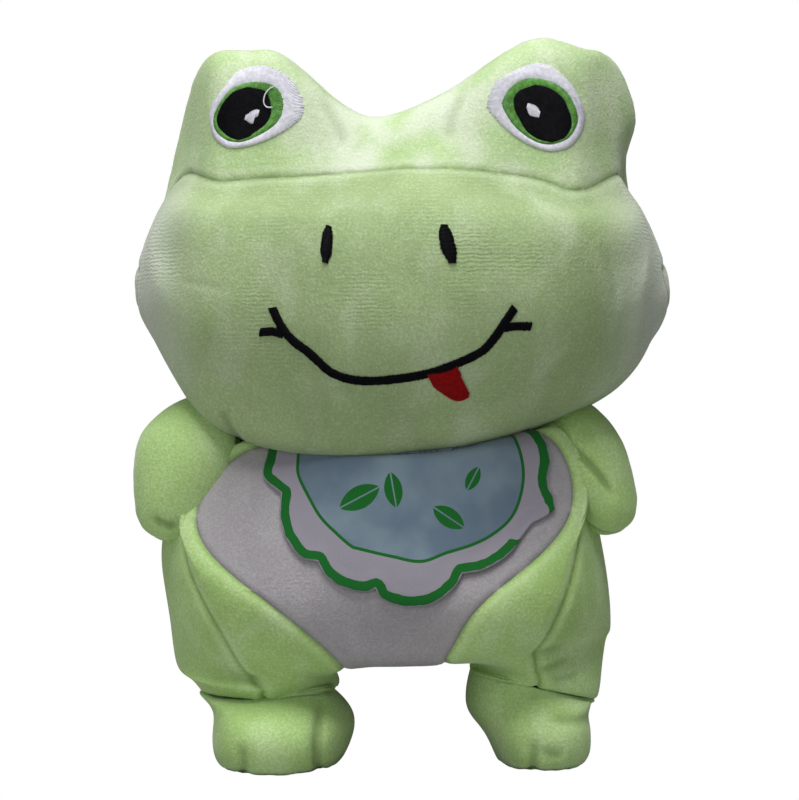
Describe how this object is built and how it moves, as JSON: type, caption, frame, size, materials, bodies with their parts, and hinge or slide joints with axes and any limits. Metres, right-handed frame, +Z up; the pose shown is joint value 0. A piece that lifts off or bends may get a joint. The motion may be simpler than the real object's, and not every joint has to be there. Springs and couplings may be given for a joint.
{
  "type": "plush frog",
  "caption": "Stuffed frog toy standing on two flat-soled feet, with a broad head, raised eye bumps, stub arms and a scalloped bib.",
  "frame": {"origin": "on the floor under the middle of the toy's bounding box", "axes": "+Z up through the head; the face looks along -Y; +X is to the viewer's right when facing the toy"},
  "size_m": [0.1824, 0.1158, 0.2429],
  "materials": {
    "plush_green": "short-pile light green plush",
    "plush_white": "short-pile white plush",
    "stuffing": "white polyester fibre",
    "thread_white": "satin-stitched white thread",
    "thread_green": "satin-stitched green thread",
    "thread_black": "satin-stitched black thread",
    "thread_red": "satin-stitched dark red thread",
    "bib_cloth": "printed thin woven cloth"
  },
  "bodies": {
    "torso": {"belly_panel": "plush_white", "thigh_panel_left": "plush_green", "thigh_panel_right": "plush_green", "back_panel_left": "plush_green", "back_panel_right": "plush_green", "body_stuffing": "stuffing"},
    "neck": {"neck_stuffing": "stuffing"},
    "head": {"forehead_panel": "plush_green", "face_panel": "plush_green", "head_back_left": "plush_green", "head_back_right": "plush_green", "head_stuffing": "stuffing", "eye_white_left": "thread_white", "eye_white_right": "thread_white", "eye_iris_left": "thread_green", "eye_iris_right": "thread_green", "eye_pupil_left": "thread_black", "eye_pupil_right": "thread_black", "eye_glint_left": "thread_white", "eye_glint_right": "thread_white", "nostril_left": "thread_black", "nostril_right": "thread_black", "mouth_line": "thread_black", "mouth_corner_left": "thread_black", "mouth_corner_right": "thread_black", "tongue": "thread_red"},
    "arm_left": {"arm_outer_left": "plush_green", "arm_inner_left": "plush_green", "arm_stuffing_left": "stuffing"},
    "arm_right": {"arm_outer_right": "plush_green", "arm_inner_right": "plush_green", "arm_stuffing_right": "stuffing"},
    "foot_left": {"foot_upper_left": "plush_green", "foot_sole_left": "plush_green", "foot_stuffing_left": "stuffing"},
    "foot_right": {"foot_upper_right": "plush_green", "foot_sole_right": "plush_green", "foot_stuffing_right": "stuffing"},
    "bib": {"bib": "bib_cloth"}
  },
  "joints": [
    {"name": "head_turn", "type": "hinge", "parent": "torso", "child": "neck", "pos_m": [0, 0, 0.1015], "axis": [0, 0, 1], "range_deg": [-8, 8], "stiffness_Nm_per_rad": 0.6},
    {"name": "head_nod", "type": "hinge", "parent": "neck", "child": "head", "pos_m": [0, 0, 0.1015], "axis": [1, 0, 0], "range_deg": [-6, 4], "stiffness_Nm_per_rad": 0.8},
    {"name": "arm_left_lift", "type": "hinge", "parent": "torso", "child": "arm_left", "pos_m": [-0.06, -0.011, 0.109], "axis": [-0.8545, 0.382, 0.3519], "range_deg": [0, 18], "stiffness_Nm_per_rad": 0.03},
    {"name": "arm_right_lift", "type": "hinge", "parent": "torso", "child": "arm_right", "pos_m": [0.054, -0.009, 0.108], "axis": [-0.8545, -0.382, -0.3519], "range_deg": [0, 18], "stiffness_Nm_per_rad": 0.03},
    {"name": "foot_left_flex", "type": "hinge", "parent": "torso", "child": "foot_left", "pos_m": [-0.0405, -0.01, 0.006], "axis": [1, 0, 0], "range_deg": [-6, 6], "stiffness_Nm_per_rad": 0.45},
    {"name": "foot_right_flex", "type": "hinge", "parent": "torso", "child": "foot_right", "pos_m": [0.043, -0.004, 0.006], "axis": [1, 0, 0], "range_deg": [-6, 6], "stiffness_Nm_per_rad": 0.45},
    {"name": "bib_lift", "type": "hinge", "parent": "torso", "child": "bib", "pos_m": [0, -0.033, 0.0965], "axis": [-1, 0, 0], "range_deg": [0, 30]}
  ]
}
